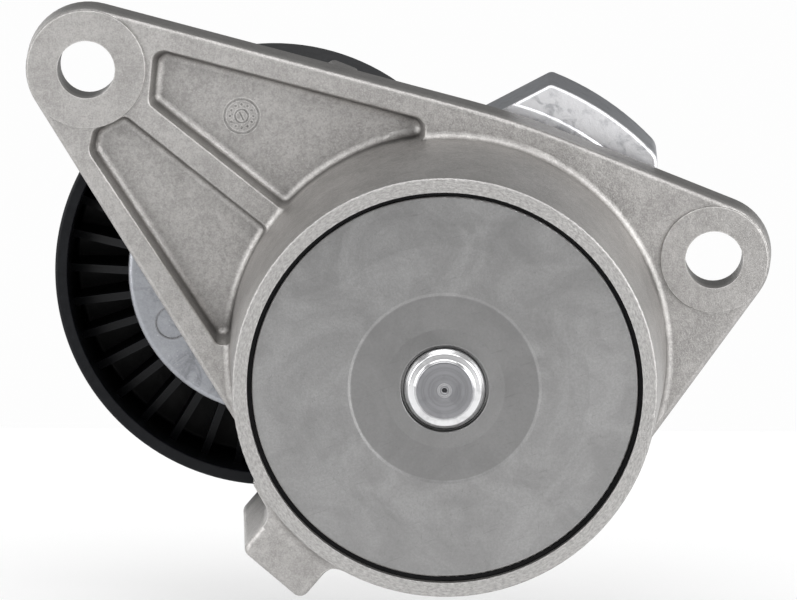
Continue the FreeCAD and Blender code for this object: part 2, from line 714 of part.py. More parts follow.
def make_arm():
    arm = rounded_disc(ARM_HUB_R, ARM_REAR, ARM_FRONT)
    arm = arm.fuse(rounded_disc(BOSS_R, ARM_REAR - 0.4, ARM_FRONT, BOSS_CENTRE, 1.0, 0.8))
    arm = arm.fuse(make_sector())
    raised = sector_solid(ARM_REAR - 0.5, ARM_REAR + 1.0).common(
        rounded_disc(48.6, ARM_REAR - 0.5, ARM_REAR + 2.0, (0.0, 0.0), 0.5, 0.1))
    arm = arm.fuse(raised)
    shoulder = rounded_disc(ARM_HUB_R - 1.5, ARM_FRONT - 1.0, ARM_FRONT + 5.0).cut(
        disc(PULLEY_R + 2.5, ARM_FRONT - 2.0, ARM_FRONT + 6.0, PULLEY_AXIS))
    arm = arm.fuse(shoulder)
    arm = arm.fuse(disc(15.0, ARM_HUB_REAR, ARM_REAR + 5.0))

    seat_y = BEARING_REAR - SLINGER_THICKNESS
    stub = turned([
        (0, ARM_FRONT - 1.0),
        (16.0, ARM_FRONT - 1.0),
        (14.6, ARM_FRONT + 0.6, 1.2),
        (12.2, seat_y, 0.4),
        (BEARING_BORE_R, seat_y),
        (BEARING_BORE_R, BEARING_FRONT - 0.6, 0.5),
        (0, BEARING_FRONT - 0.6),
    ], PULLEY_AXIS)
    arm = arm.fuse(stub).removeSplitter()

    recess = turned([
        (15.4, ARM_REAR - 3.0),
        (32.6, ARM_REAR - 3.0),
        (32.3, RECESS_FLOOR, 0.8),
        (15.6, RECESS_FLOOR, 0.8),
    ])
    deep = ring(32.2, 15.7, RECESS_FLOOR - 0.5, DEEP_FLOOR)
    wedge_points = [(0.0, 0.0)] + [polar(60.0, a) for a in (DEEP_FROM, -15.0, DEEP_TO)]
    deep = deep.common(prism(wedge_points, RECESS_FLOOR - 1.0, DEEP_FLOOR + 1.0))
    slot = prism(slot_outline(FRONT_TANG_ANGLE, 3.6, 24.0, 45.8), ARM_REAR - 3.0, DEEP_FLOOR)
    core_y = DEEP_FLOOR + 3.4
    core = sector_solid(core_y, SECTOR_FRONT + 1.0, 3.4)
    core = core.common(core_window(core_y))
    cutters = [recess, deep, slot, core]
    cutters.append(ring(40.5, 37.3, ARM_REAR - 2.0, ARM_REAR))
    cutters.append(disc(PIN_R, ARM_REAR - 5.0, ARM_FRONT + 2.0))
    cutters.append(disc(BOLT_R, ARM_REAR + 2.5, BEARING_FRONT + 1.0, PULLEY_AXIS))
    cutters.append(disc(3.1, ARM_REAR - 1.0, ARM_REAR - 0.4 + 0.25, EJECTOR_MARK))
    return arm.cut(cutters)


def core_window(y0):
    """Region of the sector's front pocket, which leaves a wall all round it."""
    wall = 3.4
    run = polar(1.0, SECTOR_EDGE_SLOPE)
    corner = (SECTOR_CORNER[0] + wall * run[1], SECTOR_CORNER[1] - wall * run[0])
    end_side = polar(3.6, SECTOR_END_ANGLE + 90.0)
    near_end = polar(43.0, SECTOR_END_ANGLE)
    far_end = polar(58.0, SECTOR_END_ANGLE)
    outline = [
        (corner[0] + 4.0 * run[0], corner[1] + 4.0 * run[1]),
        (corner[0] - 14.0 * run[0], corner[1] - 14.0 * run[1], 1.0),
        polar(43.0, 58.0),
        (near_end[0] + end_side[0], near_end[1] + end_side[1], 1.0),
        (far_end[0] + end_side[0], far_end[1] + end_side[1]),
    ]
    return prism(outline, y0, SECTOR_FRONT + 1.0)


def make_thrust_washer():
    return ring(13.6, PIN_R + 0.1, HUB_TUBE_FRONT + 0.15, ARM_HUB_REAR)


def make_dust_seal():
    return turned([
        (37.4, ARM_REAR),
        (37.4, PLATE_FRONT + 0.3, 0.2),
        (38.3, PLATE_FRONT + 0.3, 0.2),
        (38.6, ARM_REAR - 1.2, 0.4),
        (40.4, ARM_REAR - 1.2, 0.3),
        (40.4, ARM_REAR),
    ])


# ---- idler pulley and bearing ------------------------------------------------------

def make_pulley():
    rear, front = PULLEY_REAR, PULLEY_FRONT
    inner = PULLEY_R - RIM_WALL
    middle = 0.5 * (rear + front)
    web_rear = front - 7.5
    shell = turned([
        (BEARING_OUTER_R, BEARING_REAR - 0.9),
        (HUB_OUTER_R, BEARING_REAR - 3.2, 1.0),
        (HUB_OUTER_R + 0.5, web_rear, 0.8),
        (inner - 0.5, web_rear, 1.0),
        (inner, rear, 0.3),
        (PULLEY_R, rear, 0.6),
        (PULLEY_R, front, 0.6),
        (inner, front, 0.3),
        (inner - 0.4, web_rear + 3.0, 1.0),
        (HUB_OUTER_R + 0.4, web_rear + 3.0, 0.8),
        (HUB_OUTER_R, middle + 9.0, 0.8),
        (19.0, middle + 9.0, 0.4),
        (19.0, BEARING_FRONT),
        (BEARING_OUTER_R, BEARING_FRONT),
        (BEARING_OUTER_R, BEARING_REAR),
        (19.0, BEARING_REAR),
        (19.0, BEARING_REAR - 1.6, 0.3),
    ], PULLEY_AXIS)
    rib_side = Part.Face(rounded_loop([
        (HUB_OUTER_R - 0.2, rear + RIB_HUB_DEPTH),
        (inner + 0.4, rear + RIB_RIM_DEPTH),
        (inner + 0.4, web_rear + 0.2),
        (HUB_OUTER_R - 0.2, web_rear + 0.2),
    ], lambda r, y: at(r, -0.5 * RIB_THICKNESS, y)))
    rib = rib_side.extrude(at(0, RIB_THICKNESS))
    ribs = []
    for i in range(RIB_COUNT):
        piece = spun(rib, i * 360.0 / RIB_COUNT)
        piece.translate(at(*PULLEY_AXIS))
        ribs.append(piece)
    return shell.fuse(ribs)


def make_inner_ring():
    body = turned([
        (BEARING_BORE_R, BEARING_REAR, 0.3),
        (12.3, BEARING_REAR, 0.2),
        (12.3, BEARING_FRONT, 0.2),
        (BEARING_BORE_R, BEARING_FRONT, 0.3),
    ], PULLEY_AXIS)
    ring_r = BALL_CIRCLE_R - BALL_R - BALL_CLEARANCE + GROOVE_R
    groove = Part.makeTorus(ring_r, GROOVE_R, at(*PULLEY_AXIS, BEARING_MIDDLE), ALONG_Y)
    return body.cut(groove)


def make_outer_ring():
    rear, front = BEARING_REAR, BEARING_FRONT
    body = turned([
        (BEARING_OUTER_R, rear, 0.3),
        (BEARING_OUTER_R, front, 0.3),
        (17.5, front),
        (17.5, front - 1.6),
        (16.5, front - 1.6),
        (16.5, rear + 1.6),
        (17.5, rear + 1.6),
        (17.5, rear),
    ], PULLEY_AXIS)
    ring_r = BALL_CIRCLE_R + BALL_R + BALL_CLEARANCE - GROOVE_R
    groove = Part.makeTorus(ring_r, GROOVE_R, at(*PULLEY_AXIS, BEARING_MIDDLE), ALONG_Y)
    return body.cut(groove)


def make_balls():
    balls = []
    for i in range(BALL_COUNT):
        x, z = polar(BALL_CIRCLE_R, 360.0 / BALL_COUNT * i, PULLEY_AXIS)
        balls.append(Part.makeSphere(BALL_R, at(x, z, BEARING_MIDDLE)))
    return Part.makeCompound(balls)


def make_cage_half(side):
    """Pressed ribbon cage half: flat webs between cupped pockets."""
    pocket_r = BALL_R + 0.12
    shell_r = pocket_r + 0.5
    band = ring(15.5, 13.0, -5.0, 5.0)
    web = ring(15.5, 13.0, 0.02, 0.6)
    body = web
    hollows = []
    for i in range(BALL_COUNT):
        x, z = polar(BALL_CIRCLE_R, 360.0 / BALL_COUNT * i)
        body = body.fuse(Part.makeSphere(shell_r, at(x, z)))
        hollows.append(Part.makeSphere(pocket_r, at(x, z)))
        hole = polar(BALL_CIRCLE_R, 360.0 / BALL_COUNT * (i + 0.5))
        hollows.append(disc(RIVET_R, -1.0, 1.0, hole))
    body = body.common(band).cut(hollows)
    body = body.cut(disc(20.0, -6.0, 0.02))
    if side < 0:
        body = body.mirror(ORIGIN, ALONG_Y)
    body.translate(at(*PULLEY_AXIS, BEARING_MIDDLE))
    return body


def make_cage_rivets():
    rivets = []
    for i in range(BALL_COUNT):
        centre = polar(BALL_CIRCLE_R, 360.0 / BALL_COUNT * (i + 0.5), PULLEY_AXIS)
        shank = [
            (0, -1.0),
            (0.9, -1.0, 0.3),
            (0.9, -0.62),
            (RIVET_R, -0.62),
            (RIVET_R, 0.62),
            (0.9, 0.62),
            (0.9, 1.0, 0.3),
            (0, 1.0),
        ]
        rivet = turned([(c[0], c[1] + BEARING_MIDDLE) + tuple(c[2:]) for c in shank], centre)
        rivets.append(rivet)
    return Part.makeCompound(rivets)


def make_seal(front_side):
    """Rubber-faced seal pressed into the outer ring, with a lip close to the inner ring."""
    y0 = BEARING_REAR + 0.2
    section = [
        (12.45, y0 + 0.3, 0.1),
        (13.0, y0 + 0.05, 0.1),
        (17.0, y0 + 0.05, 0.1),
        (17.5, y0 + 0.2),
        (17.5, y0 + 1.4),
        (16.8, y0 + 1.0, 0.2),
        (13.2, y0 + 0.85, 0.1),
        (12.45, y0 + 1.1, 0.1),
    ]
    if front_side:
        total = BEARING_REAR + BEARING_FRONT
        section = [(c[0], total - c[1]) + tuple(c[2:]) for c in section]
    return turned(section, PULLEY_AXIS)


def make_slinger():
    """Thin shield between the arm and the bearing, with a turned-back edge."""
    y1 = BEARING_REAR
    y0 = y1 - SLINGER_THICKNESS
    return turned([
        (BEARING_BORE_R, y0),
        (17.4, y0, 0.3),
        (18.2, y0 - 1.4),
        (18.6, y0 - 1.2),
        (17.9, y1 - 0.35, 0.3),
        (12.4, y1 - 0.35),
        (12.2, y1),
        (BEARING_BORE_R, y1),
    ], PULLEY_AXIS)


def make_front_washer():
    y0 = BEARING_FRONT
    return turned([
        (BOLT_R + 0.3, y0),
        (12.2, y0),
        (12.4, y0 + 0.4),
        (18.2, y0 + 0.4, 0.2),
        (18.2, y0 + 1.1, 0.3),
        (12.6, y0 + 1.5, 0.5),
        (11.8, y0 + 2.4, 0.5),
        (BOLT_R + 0.3, y0 + 2.4),
    ], PULLEY_AXIS)


def make_bolt():
    """Hexagon flange bolt that clamps the bearing to the arm."""
    seat = BEARING_FRONT + 2.4
    flange = turned([
        (0, seat),
        (10.6, seat, 0.3),
        (10.4, seat + 1.5, 0.5),
        (8.6, seat + 2.4),
        (0, seat + 2.4),
    ])
    across = HEX_ACROSS_FLATS / math.sqrt(3.0)
    head = prism([polar(across, 60.0 * i + 12.0) for i in range(6)], seat + 1.0, seat + 8.5)
    dome = turned([
        (0, seat),
        (across + 0.1, seat),
        (across + 0.1, seat + 7.6),
        (across - 1.5, seat + 8.5),
        (0, seat + 8.5),
    ])
    dimple = turned([(0, seat + 8.0), (4.2, seat + 8.0, 0.3), (4.6, seat + 9.0), (0, seat + 9.0)])
    shank = turned([
        (0, ARM_REAR + 4.0),
        (BOLT_R - 0.8, ARM_REAR + 4.0),
        (BOLT_R, ARM_REAR + 4.8),
        (BOLT_R, seat + 0.5),
        (0, seat + 0.5),
    ])
    bolt = flange.fuse([head.common(dome), shank]).cut(dimple)
    bolt.translate(at(*PULLEY_AXIS))
    return bolt


def main():
    rear_bush, front_bush = make_bushes()
    nodes = {
        "housing": make_housing(),
        "rear_bush": rear_bush,
        "front_bush": front_bush,
        "friction_ring": make_friction_ring(),
        "torsion_spring": make_spring(),
        "tensioner_arm": make_arm(),
        "pivot_pin": make_pin(),
        "end_plate": make_end_plate(),
        "thrust_washer": make_thrust_washer(),
        "dust_seal": make_dust_seal(),
        "rear_slinger": make_slinger(),
        "bearing_inner_ring": make_inner_ring(),
        "front_washer": make_front_washer(),
        "pulley_bolt": make_bolt(),
        "idler_pulley": make_pulley(),
        "bearing_outer_ring": make_outer_ring(),
        "rear_seal": make_seal(False),
        "front_seal": make_seal(True),
        "bearing_balls": make_balls(),
        "rear_cage_half": make_cage_half(-1),
        "front_cage_half": make_cage_half(1),
        "cage_rivets": make_cage_rivets(),
    }
    os.makedirs("parts", exist_ok=True)
    for name, shape in nodes.items():
        shape.exportStep("parts/" + name + ".step")
        print(f"{name:20s} solids {len(shape.Solids):3d}  volume {shape.Volume:10.1f} mm3"
              f"  valid {shape.isValid()}")


main()
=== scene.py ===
import json
import math

import bpy
import bmesh
from mathutils import Matrix, Vector


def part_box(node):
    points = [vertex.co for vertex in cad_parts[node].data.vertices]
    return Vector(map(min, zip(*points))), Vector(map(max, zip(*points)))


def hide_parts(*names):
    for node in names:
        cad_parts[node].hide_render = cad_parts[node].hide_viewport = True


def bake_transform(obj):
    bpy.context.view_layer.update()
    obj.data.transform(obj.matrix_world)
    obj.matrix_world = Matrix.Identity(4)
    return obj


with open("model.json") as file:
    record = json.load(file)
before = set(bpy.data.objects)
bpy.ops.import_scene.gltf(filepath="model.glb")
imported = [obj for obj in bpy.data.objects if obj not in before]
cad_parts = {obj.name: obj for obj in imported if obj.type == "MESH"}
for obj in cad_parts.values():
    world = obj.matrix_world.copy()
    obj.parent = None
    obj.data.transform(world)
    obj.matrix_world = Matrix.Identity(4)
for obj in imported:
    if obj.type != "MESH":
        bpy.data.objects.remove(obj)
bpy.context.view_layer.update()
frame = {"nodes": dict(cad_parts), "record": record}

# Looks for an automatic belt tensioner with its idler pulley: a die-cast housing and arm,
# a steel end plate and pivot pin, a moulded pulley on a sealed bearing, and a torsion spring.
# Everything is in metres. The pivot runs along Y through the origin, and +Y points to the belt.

# Camera: where it looks from, how far it is from the pivot, and where the pivot sits in its view.
CAMERA_AZIMUTH = math.radians(1.37)
CAMERA_ELEVATION = math.radians(9.535)
CAMERA_DISTANCE = 1.2906
PIVOT_TO_RIGHT = 0.00947
PIVOT_BELOW = 0.01047
LENS_MM = 304.7
SENSOR_MM = 36.0

# Studio: what the lights aim at, and a floor that clears the pulley at the arm's full travel.
LIGHT_TARGET = (0.0, 0.0, 0.01)
FLOOR_Z = -0.0560
FLOOR_SIDE = 0.50
FLOOR_BACK = 0.22

# Places on the object that the finishes need.
RIM_FACE_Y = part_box("housing")[0].y
RIM_FACE_BAND = (0.00030, 0.00055)  # how far in front of the rim the turned finish fades out
ARM_BACK_BAND = (0.0124, 0.0128)    # Y range in which the arm's back face ends
SECTOR_FROM_X = (0.004, 0.008)      # X range in which the sector's painted light begins
EJECTOR_MARK = (-0.0535, 0.0, 0.0040)
EJECTOR_R = 0.0031
DISH_R = 0.0176
PIN_FLAT_R = 0.0053
PULLEY_BACK_R = 0.0396              # the pulley's shaded back lies inside this radius
PULLEY_CENTRE = 0.5 * (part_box("bearing_outer_ring")[0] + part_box("bearing_outer_ring")[1])

# Torsion spring, as its coil lies in the case at rest.
WIRE_R = 0.0031
COIL_R = 0.026
COIL_REAR_Y = -0.0241
COIL_FRONT_Y = 0.0160
COIL_REAR_ANGLE = 238.78
COIL_TURNS = 5.4609
TANG_BEND_R = 0.0050
TANG_END_R = 0.0445
COIL_STEPS = 260
BEND_STEPS = 12
WIRE_SIDES = 20
TIP_SCALE = 0.86
TIP_RISE = 0.10


# ---- node trees ----------------------------------------------------------------------

class Finish:
    """One procedural material, with a short call for each node that it needs."""

    def __init__(self, name):
        self.material = bpy.data.materials.new(name)
        self.material.use_nodes = True
        self.tree = self.material.node_tree
        self.shader = self.tree.nodes["Principled BSDF"]
        self.place = self.tree.nodes.new("ShaderNodeTexCoord").outputs["Object"]

    def put(self, kind, settings=(), **inputs):
        node = self.tree.nodes.new("ShaderNode" + kind)
        for name, value in dict(settings).items():
            setattr(node, name, value)
        for name, value in inputs.items():
            self.wire(node.inputs[name.replace("_", " ")], value)
        return node

    def wire(self, socket, value):
        if isinstance(value, bpy.types.NodeSocket):
            self.tree.links.new(value, socket)
        else:
            socket.default_value = value

    def stretched(self, along_y):
        """The place scaled along Y, for streaks and grain with a direction."""
        return self.put("Mapping", Vector=self.place, Scale=(1.0, along_y, 1.0)).outputs["Vector"]

    def about(self, centre):
        """The place measured from a centre."""
        return self.put("Mapping", Vector=self.place, Location=[-c for c in centre]).outputs["Vector"]

    def noise(self, size, detail=3.0, rough=0.55, place=None, warp=0.0):
        node = self.put("TexNoise", Vector=place or self.place, Scale=1.0 / size, Detail=detail,
                        Roughness=rough, Distortion=warp)
        return node.outputs["Fac"]

    def cells(self, size, output="Distance"):
        return self.put("TexVoronoi", Vector=self.place, Scale=1.0 / size).outputs[output]

    def scaled(self, value, low, high, to_low=0.0, to_high=1.0):
        node = self.put("MapRange", {"interpolation_type": "SMOOTHSTEP"}, Value=value)
        for name, number in (("From Min", low), ("From Max", high), ("To Min", to_low), ("To Max", to_high)):
            self.wire(node.inputs[name], number)
        return node.outputs["Result"]

    def sums(self, operation, a, b=0.0, c=0.0):
        node = self.put("Math", {"operation": operation})
        for socket, value in zip(node.inputs, (a, b, c)):
            self.wire(socket, value)
        return node.outputs[0]

    def mixed(self, factor, a, b):
        node = self.put("Mix", {"data_type": "RGBA", "blend_type": "MIX"})
        self.wire(node.inputs[0], factor)
        for socket, colour in ((node.inputs[6], a), (node.inputs[7], b)):
            if not isinstance(colour, bpy.types.NodeSocket):
                colour = (*colour, 1.0)
            self.wire(socket, colour)
        return node.outputs[2]

    def split(self, place=None):
        return self.put("SeparateXYZ", Vector=place or self.place).outputs

    def radius(self, centre=(0.0, 0.0, 0.0)):
        """Distance from an axis that runs along Y through a centre."""
        x, _, z = self.split(self.about(centre))
        return self.sums("SQRT", self.sums("ADD", self.sums("MULTIPLY", x, x), self.sums("MULTIPLY", z, z)))

    def edges(self, radius):
        """1 along an edge, over a width of about the radius, and 0 on open faces."""
        soft = self.put("Bevel", {"samples": 6}, Radius=radius).outputs["Normal"]
        true = self.put("NewGeometry").outputs["Normal"]
        same = self.put("VectorMath", {"operation": "DOT_PRODUCT"})
        self.wire(same.inputs[0], soft)
        self.wire(same.inputs[1], true)
        return self.scaled(same.outputs["Value"], 0.88, 1.0, 1.0, 0.0)

    def painted_corner_shade(self, reach):
        """1 in a corner and 0 in the open: the mask for painted shade in corners."""
        node = self.put("AmbientOcclusion", {"samples": 6, "only_local": True}, Distance=reach)
        return self.scaled(node.outputs["AO"], 0.35, 0.95, 1.0, 0.0)

    def bump(self, height, depth, under=None):
        node = self.put("Bump", Height=height, Distance=depth, Strength=1.0)
        if under is not None:
            self.wire(node.inputs["Normal"], under)
        return node.outputs["Normal"]

    def done(self, colour, roughness, normal=None, **own):
        """Wire the results to the shader, whose other sockets are set by name."""
        self.wire(self.shader.inputs["Base Color"], colour)
        self.wire(self.shader.inputs["Roughness"], roughness)
        if normal is not None:
            self.wire(self.shader.inputs["Normal"], normal)
        for name, value in own.items():
            self.wire(self.shader.inputs[name.replace("_", " ")], value)
        return self.material


def as_cast(name, dark, light, bright_metal, roughness, machined, grain=0.00034, contrast=1.0, edge_wear_and_highlight=0.65,
            stain=0.0, flank_shade=0.0):
    """Tumbled die-cast aluminium: a dense fine grain, soft mottling and painted glints; edges lighter from
    wear and painted highlight, painted shade in corners and on the flanks.
    """
    f = Finish(name)
    fine = f.noise(grain, detail=5.0, rough=0.75)
    coarse = f.noise(grain * 3.2, detail=3.0)
    mottle = f.noise(0.0065, detail=5.0, rough=0.6, warp=0.4)
    cloud = f.noise(0.030, detail=3.0)
    tone = f.sums("MULTIPLY_ADD", coarse, 0.22, f.sums("MULTIPLY", mottle, 0.23))
    tone = f.sums("MULTIPLY_ADD", fine, 0.55, tone)
    spread = 0.16 / contrast
    colour = f.mixed(f.scaled(tone, 0.5 - spread, 0.5 + spread), dark, light)
    colour = f.mixed(f.scaled(cloud, 0.42, 0.62, 0.0, 0.14), colour, [0.86 * c for c in dark])
    glints = f.scaled(f.cells(grain * 2.4), 0.06, 0.20, 0.42, 0.0)
    colour = f.mixed(f.sums("MULTIPLY", glints, coarse), colour, bright_metal)

    # painted highlight along edges, partly also wear: edges lighter toward the bright metal colour
    rubbed_and_highlit = f.sums("MULTIPLY", f.edges(0.00045), f.scaled(coarse, 0.30, 0.60, 0.35, 1.0))
    colour = f.mixed(f.sums("MULTIPLY", rubbed_and_highlit, edge_wear_and_highlight), colour, bright_metal)
    # painted shade: darker in corners
    colour = f.mixed(f.sums("MULTIPLY", f.painted_corner_shade(0.0050), 0.42), colour, [0.5 * c for c in dark])
    # painted shade: side faces within the plate's depth made darker
    if flank_shade:
        facing = f.sums("ABSOLUTE", f.split(f.put("NewGeometry").outputs["Normal"])[1])
        in_plate = f.scaled(f.split()[1], 0.0005, 0.0045)
        side = f.sums("MULTIPLY", f.scaled(facing, 0.30, 0.70, 1.0, 0.0), in_plate)
        colour = f.mixed(f.sums("MULTIPLY", side, flank_shade), colour, [0.40 * c for c in dark])
    if stain:
        smudge = f.scaled(f.noise(0.0052, detail=8.0, rough=0.72, warp=1.4), 0.50, 0.70)
        colour = f.mixed(f.sums("MULTIPLY", smudge, stain), colour, [0.42 * c for c in dark])

    rough = f.sums("MULTIPLY_ADD", fine, 0.14, roughness - 0.07)
    rough = f.sums("SUBTRACT", rough, f.sums("MULTIPLY", rubbed_and_highlit, 0.10))
    normal = f.bump(coarse, 0.00006 * contrast)
    normal = f.bump(fine, 0.00005 * contrast, under=normal)
    colour, rough, normal = machined(f, colour, rough, normal, bright_metal)
    return f.done(colour, rough, normal, Metallic=1.0)


def turned_rim(f, colour, rough, normal, bright_metal):
    """The case rim's face is turned: short bright and dull streaks that run round the pivot."""
    x, y, z = f.split()
    along = f.sums("MULTIPLY", f.sums("ARCTAN2", z, x), 0.013)
    round_pivot = f.put("CombineXYZ", X=f.radius(), Y=along).outputs[0]
    face = f.scaled(y, RIM_FACE_Y + RIM_FACE_BAND[0], RIM_FACE_Y + RIM_FACE_BAND[1], 1.0, 0.0)
    streaks = f.noise(0.00030, detail=4.0, rough=0.65, place=round_pivot)
    turned = f.mixed(f.scaled(streaks, 0.30, 0.70), [0.35 * c for c in bright_metal], [0.64 * c for c in bright_metal])
    colour = f.mixed(f.sums("MULTIPLY", face, 0.75), colour, turned)
    rough = f.sums("ADD", rough, f.sums("MULTIPLY", face, f.sums("MULTIPLY_ADD", streaks, 0.20, -0.12)))
    normal = f.bump(f.sums("MULTIPLY", streaks, face), 0.00007, under=normal)
    return colour, rough, normal


def arm_marks(f, colour, rough, normal, bright_metal):
    """The sector's face is painted brighter, a lit copy of the arm's finish, and the ejector mark on the
    boss gets a painted shade line along its groove.
    """
    x, y, _ = f.split()
    back = f.scaled(y, *ARM_BACK_BAND, 1.0, 0.0)
    # painted light: the sector's face made lighter, in patches, as a lit copy of the arm's finish
    sector = f.sums("MULTIPLY", f.scaled(x, *SECTOR_FROM_X), back)
    patchy_sector_light = f.scaled(f.noise(0.0035, detail=6.0, rough=0.65, warp=0.6), 0.34, 0.56, 0.35, 1.0)
    colour = f.mixed(f.sums("MULTIPLY", sector, patchy_sector_light), colour, bright_metal)
    # painted shade along the ejector mark's groove
    gap = f.sums("ABSOLUTE", f.sums("SUBTRACT", f.radius(EJECTOR_MARK), EJECTOR_R))
    groove_shade = f.sums("MULTIPLY", f.scaled(gap, 0.00010, 0.00034, 0.7, 0.0), back)
    colour = f.mixed(groove_shade, colour, [0.22 * c for c in bright_metal])
    return colour, rough, normal


def sheet_steel(name, dark, light, roughness):
    """Pressed steel plate with a satin zinc-flake coat: clouds, fine tooth, scuffs, darker inside the dish,
    and edges lighter from wear and painted highlight.
    """
    f = Finish(name)
    cloud = f.noise(0.013, detail=7.0, rough=0.66, warp=1.1)
    fine = f.noise(0.00042, detail=4.0, rough=0.7)
    blot = f.scaled(f.noise(0.0042, detail=5.0, rough=0.6, warp=0.5), 0.52, 0.75)
    colour = f.mixed(f.scaled(cloud, 0.32, 0.66), dark, light)
    colour = f.mixed(f.sums("MULTIPLY", blot, 0.30), colour, [1.12 * c for c in light])
    colour = f.mixed(f.scaled(fine, 0.30, 0.70, 0.0, 0.34), colour, [0.72 * c for c in dark])
    # darker inside the dish's radius
    dish = f.scaled(f.radius(), DISH_R - 0.0003, DISH_R, 1.0, 0.0)
    colour = f.mixed(f.sums("MULTIPLY", dish, 0.55), colour, [0.68 * c for c in dark])
    scuffs = scratches(f, 0.0060, 0.00009)
    colour = f.mixed(f.sums("MULTIPLY", scuffs, 0.22), colour, [0.55 * c for c in dark])
    # painted highlight along edges, partly also wear
    rubbed_and_highlit = f.edges(0.00045)
    colour = f.mixed(f.sums("MULTIPLY", rubbed_and_highlit, 0.60), colour, [min(1.0, 1.45 * c) for c in light])
    rough = f.sums("MULTIPLY_ADD", cloud, 0.16, roughness - 0.08)
    rough = f.sums("SUBTRACT", rough, f.sums("MULTIPLY", rubbed_and_highlit, 0.10))
    normal = f.bump(fine, 0.000030)
    normal = f.bump(f.sums("MULTIPLY", scuffs, -1.0), 0.000008, under=normal)
    return f.done(colour, rough, normal, Metallic=1.0)


def scratches(f, length, width):
    """Sparse fine lines in three directions, as a mask."""
    lines = None
    for turn in (0.35, 1.42, 2.55):
        spin = f.put("Mapping", Vector=f.place, Rotation=(0.0, turn, 0.2 * turn)).outputs["Vector"]
        long_way = f.put("Mapping", Vector=spin, Scale=(width / length, 1.0, 1.0)).outputs["Vector"]
        line = f.scaled(f.noise(width * 4.0, detail=1.0, place=long_way), 0.70, 0.76)
        lines = line if lines is None else f.sums("MAXIMUM", lines, line)
    return lines


def turned_steel(name, colour, bright, roughness):
    """Lathe-turned steel: fine rings about the pivot, with the stretched sheen they give."""
    f = Finish(name)
    radius = f.radius()
    across = f.put("CombineXYZ", X=radius, Y=f.split()[1]).outputs[0]
    grooves = f.noise(0.00035, detail=2.0, rough=0.6, place=across)
    smear = f.noise(0.0030, detail=4.0, rough=0.6)
    tone = f.mixed(f.scaled(grooves, 0.25, 0.75), colour, [1.25 * c for c in colour])
    polished = f.scaled(radius, PIN_FLAT_R, PIN_FLAT_R + 0.0001)
    tone = f.mixed(polished, tone, bright)
    tone = f.mixed(f.scaled(smear, 0.48, 0.66, 0.0, 0.25), tone, [0.6 * c for c in colour])
    # painted highlight: chamfers and edges made lighter, partly also wear
    rubbed_and_highlit = f.edges(0.00030)
    tone = f.mixed(f.sums("MULTIPLY", rubbed_and_highlit, 0.7), tone, [min(1.0, 1.15 * c) for c in bright])
    # painted shade: darker in corners
    tone = f.mixed(f.sums("MULTIPLY", f.painted_corner_shade(0.0010), 0.45), tone, [0.25 * c for c in colour])
    rough = f.sums("MULTIPLY_ADD", grooves, 0.10, roughness - 0.05)
    rough = f.sums("SUBTRACT", rough, f.sums("MULTIPLY", polished, 0.09))
    normal = f.bump(grooves, 0.000006)
    tangent = f.put("Tangent", {"direction_type": "RADIAL", "axis": "Y"}).outputs[0]
    return f.done(tone, rough, normal, Metallic=1.0, Anisotropic=0.55, Tangent=tangent)


def ground_steel(name, colour, roughness):
    """Hardened and ground bearing steel, with faint handling marks and painted highlights along edges."""
    f = Finish(name)
    fine = f.noise(0.00016, detail=2.0, place=f.stretched(7.0))
    haze = f.noise(0.004, detail=4.0)
    tone = f.mixed(f.scaled(haze, 0.40, 0.65, 0.0, 0.35), colour, [0.74 * c for c in colour])
    # painted highlight along edges
    tone = f.mixed(f.sums("MULTIPLY", f.edges(0.00030), 0.5), tone, (0.90, 0.90, 0.91))
    rough = f.sums("MULTIPLY_ADD", fine, 0.10, roughness)
    return f.done(tone, rough, f.bump(fine, 0.000004), Metallic=1.0)


def plated_steel(name, colour, tint, roughness):
    """Zinc plating: a fine spangle, a soft colour shift and dull handling marks."""
    f = Finish(name)
    spangle = f.put("SeparateColor", Color=f.cells(0.0007, "Color")).outputs[0]
    drift = f.noise(0.006, detail=4.0, warp=0.6)
    tone = f.mixed(f.scaled(drift, 0.38, 0.64), colour, tint)
    tone = f.mixed(f.scaled(spangle, 0.0, 1.0, 0.0, 0.16), tone, [0.6 * c for c in colour])
    tone = f.mixed(f.sums("MULTIPLY", scratches(f, 0.004, 0.00007), 0.3), tone, (0.85, 0.85, 0.85))
    # painted highlight along edges, partly also wear
    tone = f.mixed(f.sums("MULTIPLY", f.edges(0.00030), 0.6), tone, (0.86, 0.86, 0.85))
    rough = f.sums("MULTIPLY_ADD", spangle, 0.12, roughness)
    normal = f.bump(f.noise(0.0003, detail=3.0), 0.000012)
    return f.done(tone, rough, normal, Metallic=1.0)


